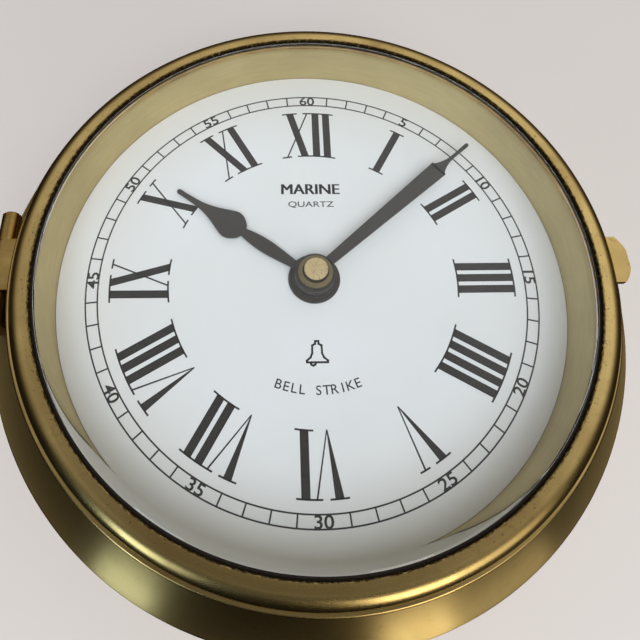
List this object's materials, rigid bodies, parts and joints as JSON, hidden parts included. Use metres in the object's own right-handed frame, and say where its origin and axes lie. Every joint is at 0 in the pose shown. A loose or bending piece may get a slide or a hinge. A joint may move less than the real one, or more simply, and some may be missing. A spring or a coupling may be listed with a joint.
{
  "type": "ship's deck clock",
  "caption": "Round brass ship's deck clock with a hinged bezel, bevelled glass, white dial, dark hands, quartz movement and bell strike.",
  "frame": {"origin": "centre of the case's back face", "axes": "+Z out of the dial towards the viewer, +Y to 12 o'clock, +X to 3 o'clock"},
  "size_m": [0.1782, 0.1782, 0.0613],
  "materials": {
    "brass_case": "polished, circumferential brushing",
    "brass_bezel": "polished",
    "brass_inner": "matt gold",
    "brass_turned": "turned",
    "brass_plain": "plain",
    "glass": "clear, bevelled",
    "gasket": "matt black",
    "dial": "matt white enamel",
    "hands": "satin charcoal",
    "steel": "plain",
    "yoke_iron": "dull",
    "black_plastic": "moulded",
    "ivory_plastic": "moulded",
    "magnet": "bonded magnet",
    "copper": "enamelled wire",
    "board": "solder-masked laminate",
    "chip": "moulded",
    "cell": "printed sleeve",
    "nickel": "plated"
  },
  "bodies": {
    "case": {"case_drum": "brass_case", "case_front": "brass_case", "case_lugs": "brass_plain", "case_back": "steel", "back_screws": "steel", "base_plate": "steel", "plate_screws": "steel", "dial": "dial", "dial_feet": "brass_plain", "dial_surround": "brass_inner", "hinge_leaf_case": "brass_plain", "hinge_pin": "brass_plain", "movement_housing": "black_plastic", "movement_back": "black_plastic", "movement_screws": "steel", "bearing_plate": "brass_plain", "pillars": "brass_plain", "center_bush": "brass_plain", "bush_nut": "brass_plain", "minute_wheel_stud": "steel", "stator": "yoke_iron", "coil_bobbin": "ivory_plastic", "windings": "copper", "circuit_board": "board", "chips": "chip", "quartz_crystal": "nickel", "battery": "cell", "battery_contacts": "nickel", "control_housings": "black_plastic", "button_spring": "nickel", "bell": "brass_turned", "bell_post": "steel", "bell_nut": "steel", "hammer_post": "steel", "solenoid_frame": "yoke_iron", "solenoid_bobbin": "ivory_plastic"},
    "bezel": {"bezel_ring": "brass_bezel", "glass": "glass", "glass_gasket": "gasket", "glass_retainer": "brass_plain", "hinge_leaf_bezel": "brass_plain", "finger_tab": "brass_bezel"},
    "minute_train": {"minute_hand": "hands", "hand_nut": "brass_turned", "centre_arbor": "steel", "centre_wheel": "ivory_plastic"},
    "hour_train": {"hour_hand": "hands", "hour_boss": "hands", "hour_wheel": "ivory_plastic"},
    "minute_wheel_body": {"minute_wheel": "ivory_plastic"},
    "third_wheel_body": {"third_wheel": "ivory_plastic"},
    "rotor_body": {"rotor": "magnet"},
    "setting": {"setting_stem": "steel", "set_knob": "black_plastic"},
    "hammer": {"hammer_lever": "steel", "hammer_head": "brass_plain"},
    "plunger": {"solenoid_plunger": "steel"},
    "strike_slide": {"strike_switch": "ivory_plastic"},
    "button": {"test_button": "ivory_plastic"},
    "door": {"battery_door": "black_plastic"}
  },
  "joints": [
    {"name": "bezel_hinge", "type": "hinge", "parent": "case", "child": "bezel", "pos_m": [-0.0818, 0, 0.0535], "axis": [0, -1, 0], "range_deg": [0, 110]},
    {"name": "minute_turn", "type": "hinge", "parent": "case", "child": "minute_train", "pos_m": [0, 0, 0.0467], "axis": [0, 0, -1], "continuous": true},
    {"name": "hour_turn", "type": "hinge", "parent": "case", "child": "hour_train", "pos_m": [0, 0, 0.0434], "axis": [0, 0, -1], "continuous": true},
    {"name": "minute_wheel_turn", "type": "hinge", "parent": "case", "child": "minute_wheel_body", "pos_m": [0.012, 0, 0.029], "axis": [0, 0, -1], "continuous": true},
    {"name": "third_wheel_turn", "type": "hinge", "parent": "case", "child": "third_wheel_body", "pos_m": [-0.01247, 0.0072, 0.0216], "axis": [0, 0, -1], "continuous": true},
    {"name": "rotor_turn", "type": "hinge", "parent": "case", "child": "rotor_body", "pos_m": [-0.02365, 0.00313, 0.0148], "axis": [0, 0, -1], "continuous": true},
    {"name": "setting_turn", "type": "hinge", "parent": "case", "child": "setting", "pos_m": [0.02119, 0.00771, 0.004], "axis": [0, 0, -1], "continuous": true},
    {"name": "hammer_swing", "type": "hinge", "parent": "case", "child": "hammer", "pos_m": [0.044, 0.046, 0.019], "axis": [0, 0, 1], "range_deg": [0, 8], "stiffness_Nm_per_rad": 0.01, "springref_deg": -6.88},
    {"name": "plunger_slide", "type": "slide", "parent": "case", "child": "plunger", "axis": [0, 1, 0], "range_m": [0, 0.0024]},
    {"name": "strike_switch_slide", "type": "slide", "parent": "case", "child": "strike_slide", "axis": [1, 0, 0], "range_m": [0, 0.005]},
    {"name": "test_button_press", "type": "slide", "parent": "case", "child": "button", "axis": [0, 0, 1], "range_m": [0, 0.0015], "stiffness_N_per_m": 400, "springref_m": -0.001, "deforming": ["button_spring"]},
    {"name": "battery_door_slide", "type": "slide", "parent": "case", "child": "door", "axis": [0, -1, 0], "range_m": [0, 0.031]}
  ],
  "couplings": [
    {"joint": "hour_turn", "follows": "minute_turn", "ratio": 0.083333},
    {"joint": "minute_wheel_turn", "follows": "minute_turn", "ratio": -0.33333},
    {"joint": "third_wheel_turn", "follows": "minute_turn", "ratio": -8},
    {"joint": "rotor_turn", "follows": "minute_turn", "ratio": 60},
    {"joint": "setting_turn", "follows": "minute_turn", "ratio": 1},
    {"joint": "plunger_slide", "follows": "hammer_swing", "m_per_rad": 0.016}
  ]
}
